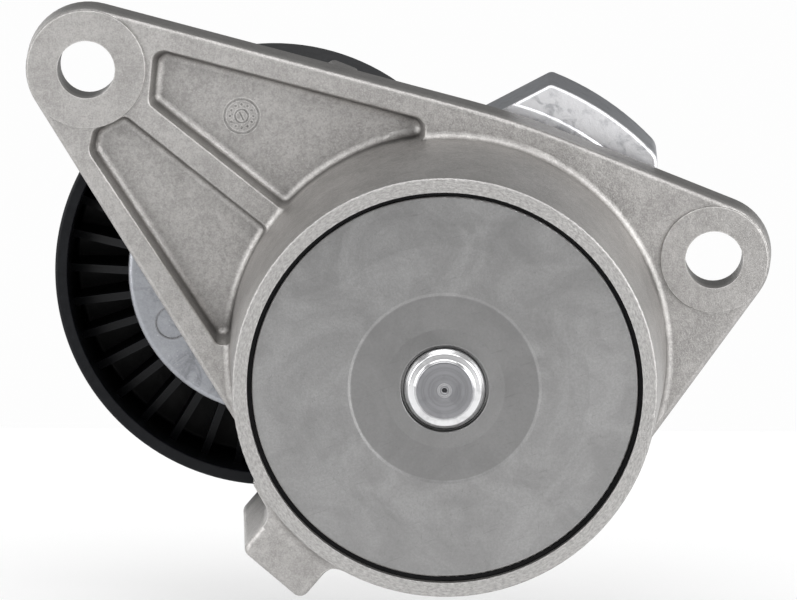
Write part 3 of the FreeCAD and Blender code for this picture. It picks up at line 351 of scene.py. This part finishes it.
def moulded(name, colour, dusty, roughness, dust=0.25, shine=0.5, shaded_back=False):
    """Glass-filled moulding: fine eroded texture, faint flow marks, dust, edges paler from wear and painted
    highlight, and painted shade in corners and on the pulley's back.
    """
    f = Finish(name)
    fine = f.noise(0.00030, detail=3.0, rough=0.6)
    flow = f.noise(0.0030, detail=4.0, rough=0.55, place=f.stretched(0.35), warp=0.8)
    specks = f.scaled(f.cells(0.00090), 0.06, 0.14, 1.0, 0.0)
    # painted shade: darker in corners, and on the pulley's back inside its rim
    corner_and_back_shade = f.painted_corner_shade(0.010)
    if shaded_back:
        radius = f.radius(PULLEY_CENTRE)
        inside = f.scaled(radius, PULLEY_BACK_R - 0.0004, PULLEY_BACK_R, 1.0, 0.0)
        shade = f.sums("MULTIPLY", inside, f.scaled(radius, 0.027, 0.036, 0.5, 0.97))
        corner_and_back_shade = f.sums("MAXIMUM", corner_and_back_shade, shade)
    tone = f.mixed(f.scaled(flow, 0.40, 0.66, 0.0, 0.5), colour, dusty)
    tone = f.mixed(f.sums("MULTIPLY", specks, dust), tone, [min(1.0, 3.2 * c) for c in dusty])
    # painted highlight along edges, partly also wear
    tone = f.mixed(f.sums("MULTIPLY", f.edges(0.00035), 0.55), tone, [min(1.0, 2.2 * c) for c in dusty])
    # the painted shade is applied here
    tone = f.mixed(f.sums("MULTIPLY", corner_and_back_shade, 0.85), tone, [0.2 * c for c in colour])
    rough = f.sums("MULTIPLY_ADD", flow, 0.22, roughness - 0.10)
    normal = f.bump(fine, 0.000018)
    normal = f.bump(flow, 0.00006, under=normal)
    return f.done(tone, rough, normal, Specular_IOR_Level=shine)


def rubber(name, colour, bloom):
    """Soft black rubber with a fine texture and a grey bloom."""
    f = Finish(name)
    fine = f.noise(0.00025, detail=3.0)
    patch = f.scaled(f.noise(0.005, detail=4.0, warp=0.5), 0.45, 0.70)
    tone = f.mixed(f.sums("MULTIPLY", patch, 0.4), colour, bloom)
    rough = f.sums("MULTIPLY_ADD", fine, 0.15, 0.52)
    return f.done(tone, rough, f.bump(fine, 0.000015), Sheen_Weight=0.15)


def sprung_wire(name):
    """Shot-peened spring wire with its dark blue-black temper coat."""
    f = Finish(name)
    peen = f.cells(0.00055)
    drift = f.noise(0.009, detail=4.0, warp=0.7)
    tone = f.mixed(f.scaled(drift, 0.38, 0.66), (0.045, 0.050, 0.062), (0.085, 0.082, 0.085))
    tone = f.mixed(f.scaled(peen, 0.30, 0.55, 0.0, 0.35), tone, (0.17, 0.17, 0.18))
    rough = f.sums("MULTIPLY_ADD", drift, 0.2, 0.34)
    return f.done(tone, rough, f.bump(peen, 0.00003), Metallic=0.85)


def sintered_bronze(name):
    """Oil-filled sintered bronze: pores and a dull brown-gold tone."""
    f = Finish(name)
    pores = f.scaled(f.cells(0.00040), 0.10, 0.32, 1.0, 0.0)
    drift = f.noise(0.003, detail=4.0)
    tone = f.mixed(f.scaled(drift, 0.35, 0.65), (0.44, 0.25, 0.11), (0.58, 0.36, 0.17))
    tone = f.mixed(f.sums("MULTIPLY", pores, 0.6), tone, (0.10, 0.055, 0.028))
    rough = f.sums("MULTIPLY_ADD", drift, 0.2, 0.33)
    return f.done(tone, rough, f.bump(f.sums("MULTIPLY", pores, -1.0), 0.00002), Metallic=1.0)


def black_zinc_flake(name):
    """Bolt steel: a grey zinc-flake coat over forged and rolled surfaces."""
    f = Finish(name)
    flake = f.put("SeparateColor", Color=f.cells(0.00025, "Color")).outputs[0]
    drift = f.noise(0.004, detail=4.0)
    tone = f.mixed(f.scaled(drift, 0.36, 0.66), (0.30, 0.30, 0.31), (0.42, 0.42, 0.43))
    tone = f.mixed(f.scaled(flake, 0.55, 1.0, 0.0, 0.4), tone, (0.62, 0.62, 0.63))
    # painted highlight along edges, partly also wear
    tone = f.mixed(f.sums("MULTIPLY", f.edges(0.00035), 0.6), tone, (0.78, 0.78, 0.78))
    rough = f.sums("MULTIPLY_ADD", flake, 0.18, 0.34)
    return f.done(tone, rough, f.bump(f.noise(0.00035), 0.00003), Metallic=1.0)


def dress_nodes():
    """Give each CAD node the finish of its material slot."""
    finishes = {
        "housing_cast": as_cast("housing_cast", (0.33, 0.320, 0.312), (0.50, 0.487, 0.475),
                                (0.82, 0.805, 0.79), 0.44, turned_rim, contrast=1.4, flank_shade=0.55),
        "arm_cast": as_cast("arm_cast", (0.305, 0.315, 0.34), (0.41, 0.42, 0.445), (0.86, 0.86, 0.88),
                            0.36, arm_marks, grain=0.00042, contrast=0.9, edge_wear_and_highlight=0.2, stain=0.55),
        "bush_bronze": sintered_bronze("bush_bronze"),
        "friction_polymer": moulded("friction_polymer", (0.004, 0.004, 0.0045), (0.007, 0.007, 0.008), 0.62,
                                    dust=0.0, shine=0.15),
        "spring_steel": sprung_wire("spring_steel"),
        "plate_steel": sheet_steel("plate_steel", (0.275, 0.273, 0.272), (0.345, 0.343, 0.342), 0.42),
        "pin_steel": turned_steel("pin_steel", (0.23, 0.23, 0.24), (0.74, 0.74, 0.75), 0.22),
        "washer_polymer": moulded("washer_polymer", (0.50, 0.44, 0.33), (0.60, 0.55, 0.44), 0.48, dust=0.0),
        "seal_rubber": rubber("seal_rubber", (0.012, 0.012, 0.013), (0.045, 0.045, 0.047)),
        "zinc_steel": plated_steel("zinc_steel", (0.60, 0.60, 0.60), (0.68, 0.66, 0.60), 0.28),
        "bearing_steel": ground_steel("bearing_steel", (0.66, 0.665, 0.68), 0.14),
        "cage_steel": ground_steel("cage_steel", (0.50, 0.50, 0.51), 0.26),
        "bolt_steel": black_zinc_flake("bolt_steel"),
        "pulley_polymer": moulded("pulley_polymer", (0.0045, 0.0050, 0.0065), (0.010, 0.011, 0.013), 0.40,
                                  shine=0.17, shaded_back=True),
    }
    for part in frame["record"]["subparts"]:
        mesh = frame["nodes"][part["node"]].data
        mesh.materials.clear()
        mesh.materials.append(finishes[part["material_slot"]])
    return finishes


# ---- torsion spring ------------------------------------------------------------------

def round_point(radius, degrees, y):
    angle = math.radians(degrees)
    return Vector((radius * math.cos(angle), y, radius * math.sin(angle)))


def spring_path():
    """Centre line: a tang out to the housing's lug, the coils, and a tang out to the arm."""
    points = []
    sweep = 360.0 * COIL_TURNS
    for i in range(COIL_STEPS + 1):
        share = i / COIL_STEPS
        y = COIL_REAR_Y + share * (COIL_FRONT_Y - COIL_REAR_Y)
        points.append(round_point(COIL_R, COIL_REAR_ANGLE + share * sweep, y))
    rear = tang_path(COIL_REAR_ANGLE, COIL_REAR_Y, -1.0)
    front = tang_path(COIL_REAR_ANGLE + sweep, COIL_FRONT_Y, 1.0)
    return list(reversed(rear)) + points + front


def tang_path(degrees, y, turn):
    """From the coil's end: a bend of a quarter turn and a straight run out along a radius."""
    here = math.radians(degrees)
    out = Vector((math.cos(here), 0.0, math.sin(here)))
    along = Vector((-math.sin(here), 0.0, math.cos(here))) * turn
    start = Vector((COIL_R * out.x, y, COIL_R * out.z))
    centre = start + out * TANG_BEND_R
    # the bend ends where its own direction points straight out from the pivot
    points = []
    total = 0.5 * math.pi - math.asin(TANG_BEND_R / (COIL_R + TANG_BEND_R))
    for i in range(1, BEND_STEPS + 1):
        angle = total * i / BEND_STEPS
        points.append(centre + TANG_BEND_R * (along * math.sin(angle) - out * math.cos(angle)))
    tip = points[-1].copy()
    tip.y = 0.0
    direction = tip.normalized()
    for share in (0.25, 0.5, 0.75, 1.0):
        reach = tip.length + share * (TANG_END_R - tip.length)
        point = direction * reach
        point.y = y
        points.append(point)
    return points


def swept(name, path, radius):
    """Round bar along a path, with rounded ends."""
    bm = bmesh.new()
    rings = []
    normal = None
    for i, point in enumerate(path):
        ahead = (path[min(i + 1, len(path) - 1)] - path[max(i - 1, 0)]).normalized()
        if normal is None:
            normal = ahead.orthogonal().normalized()
        normal = (normal - ahead * normal.dot(ahead)).normalized()
        side = ahead.cross(normal)
        rings.append([(normal * math.cos(a) + side * math.sin(a), point, ahead)
                      for a in (math.tau * k / WIRE_SIDES for k in range(WIRE_SIDES))])
    rows = [[bm.verts.new(point + spoke * radius) for spoke, point, ahead in ring] for ring in rings]
    for low, high in zip(rows, rows[1:]):
        for k in range(WIRE_SIDES):
            after = (k + 1) % WIRE_SIDES
            bm.faces.new((low[k], low[after], high[after], high[k]))
    for row, ring, way in ((rows[0], rings[0], -1.0), (rows[-1], rings[-1], 1.0)):
        inner = [bm.verts.new(point + spoke * radius * TIP_SCALE + ahead * way * radius * TIP_RISE)
                 for spoke, point, ahead in ring]
        for k in range(WIRE_SIDES):
            after = (k + 1) % WIRE_SIDES
            quad = (row[k], row[after], inner[after], inner[k])
            bm.faces.new(quad if way > 0 else tuple(reversed(quad)))
        bm.faces.new(inner if way > 0 else list(reversed(inner)))
    bmesh.ops.recalc_face_normals(bm, faces=bm.faces)
    mesh = bpy.data.meshes.new(name)
    bm.to_mesh(mesh)
    bm.free()
    mesh.shade_smooth()
    piece = bpy.data.objects.new(name, mesh)
    bpy.context.collection.objects.link(piece)
    return piece


def make_spring(finishes):
    spring = swept("spring_coils", spring_path(), WIRE_R)
    spring.data.materials.append(finishes["spring_steel"])
    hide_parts("torsion_spring")
    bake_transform(spring)


# ---- studio --------------------------------------------------------------------------

def make_camera():
    """The view is nearly square to the back of the tensioner, from a little above."""
    a, e = CAMERA_AZIMUTH, CAMERA_ELEVATION
    forward = Vector((-math.sin(a) * math.cos(e), math.cos(a) * math.cos(e), -math.sin(e)))
    right = Vector((math.cos(a), math.sin(a), 0.0))
    up = right.cross(forward)
    data = bpy.data.cameras.new("camera")
    data.lens = LENS_MM
    data.sensor_width = SENSOR_MM
    data.clip_end = 20.0
    camera = bpy.data.objects.new("camera", data)
    place = -forward * CAMERA_DISTANCE - right * PIVOT_TO_RIGHT + up * PIVOT_BELOW
    turn = Matrix((right, up, -forward)).transposed().to_4x4()
    camera.matrix_world = Matrix.Translation(place) @ turn
    bpy.context.collection.objects.link(camera)
    bpy.context.scene.camera = camera


def make_light(name, place, width, height, brightness):
    """Softbox aimed at the object; a brightness of 1 is the white of the backdrop."""
    data = bpy.data.lights.new(name, "AREA")
    data.shape = "RECTANGLE"
    data.size = width
    data.size_y = height
    data.energy = brightness * math.pi * width * height
    light = bpy.data.objects.new(name, data)
    light.location = place
    light.rotation_mode = "QUATERNION"
    light.rotation_quaternion = (Vector(LIGHT_TARGET) - light.location).to_track_quat("-Z", "Y")
    light.visible_camera = False
    bpy.context.collection.objects.link(light)


def make_floor():
    corners = [(-FLOOR_SIDE, -FLOOR_SIDE), (FLOOR_SIDE, -FLOOR_SIDE), (FLOOR_SIDE, FLOOR_BACK),
               (-FLOOR_SIDE, FLOOR_BACK)]
    mesh = bpy.data.meshes.new("floor")
    mesh.from_pydata([(x, y, FLOOR_Z) for x, y in corners], [], [(0, 1, 2, 3)])
    floor = bpy.data.objects.new("floor", mesh)
    bpy.context.collection.objects.link(floor)
    f = Finish("pale_floor")
    tone = f.mixed(f.noise(0.4, detail=2.0), (0.44, 0.44, 0.44), (0.46, 0.46, 0.46))
    mesh.materials.append(f.done(tone, 0.8, Emission_Color=(1.0, 1.0, 1.0, 1.0), Emission_Strength=0.50))


def make_world():
    """Pale surroundings: brighter overhead and underfoot, dim behind, and a white backdrop in view."""
    world = bpy.data.worlds.new("studio")
    bpy.context.scene.world = world
    world.use_nodes = True
    nodes, links = world.node_tree.nodes, world.node_tree.links
    nodes.clear()

    def ramp(value, low, high, to_low, to_high):
        node = nodes.new("ShaderNodeMapRange")
        for name, number in (("From Min", low), ("From Max", high), ("To Min", to_low), ("To Max", to_high)):
            node.inputs[name].default_value = number
        links.new(value, node.inputs["Value"])
        return node.outputs[0]

    def maths(operation, a, b):
        node = nodes.new("ShaderNodeMath")
        node.operation = operation
        links.new(a, node.inputs[0])
        links.new(b, node.inputs[1])
        return node.outputs[0]

    def background():
        node = nodes.new("ShaderNodeBackground")
        node.inputs["Color"].default_value = (1.0, 1.0, 1.0, 1.0)
        return node

    way = nodes.new("ShaderNodeSeparateXYZ")
    links.new(nodes.new("ShaderNodeTexCoord").outputs["Generated"], way.inputs[0])
    _, depth, height = way.outputs
    overhead = ramp(height, -0.2, 0.9, 0.50, 0.76)
    behind = ramp(depth, 0.1, 0.7, 1.0, 0.40)
    underfoot = ramp(height, -0.12, 0.02, 0.85, 0.0)
    room = background()
    links.new(maths("MAXIMUM", maths("MULTIPLY", overhead, behind), underfoot), room.inputs["Strength"])
    backdrop = background()
    backdrop.inputs["Strength"].default_value = 0.985
    choice = nodes.new("ShaderNodeMixShader")
    links.new(nodes.new("ShaderNodeLightPath").outputs["Is Camera Ray"], choice.inputs[0])
    links.new(room.outputs[0], choice.inputs[1])
    links.new(backdrop.outputs[0], choice.inputs[2])
    links.new(choice.outputs[0], nodes.new("ShaderNodeOutputWorld").inputs[0])


def make_studio():
    bpy.context.scene.view_settings.view_transform = "Standard"
    make_camera()
    make_floor()
    make_world()
    make_light("top_softbox", (-0.05, -0.24, 0.70), 0.80, 0.50, 2.1)
    make_light("left_softbox", (-0.78, -0.45, 0.28), 0.70, 0.70, 2.8)
    make_light("right_softbox", (0.76, -0.38, 0.30), 0.65, 0.75, 2.6)
    make_light("near_softbox", (0.42, -0.38, 0.12), 0.35, 0.35, 2.2)
    make_light("far_left_softbox", (-0.60, 0.70, 0.22), 0.50, 0.50, 1.8)
    make_light("far_right_softbox", (0.60, 0.70, 0.16), 0.50, 0.50, 0.9)


finishes = dress_nodes()
make_spring(finishes)
make_studio()
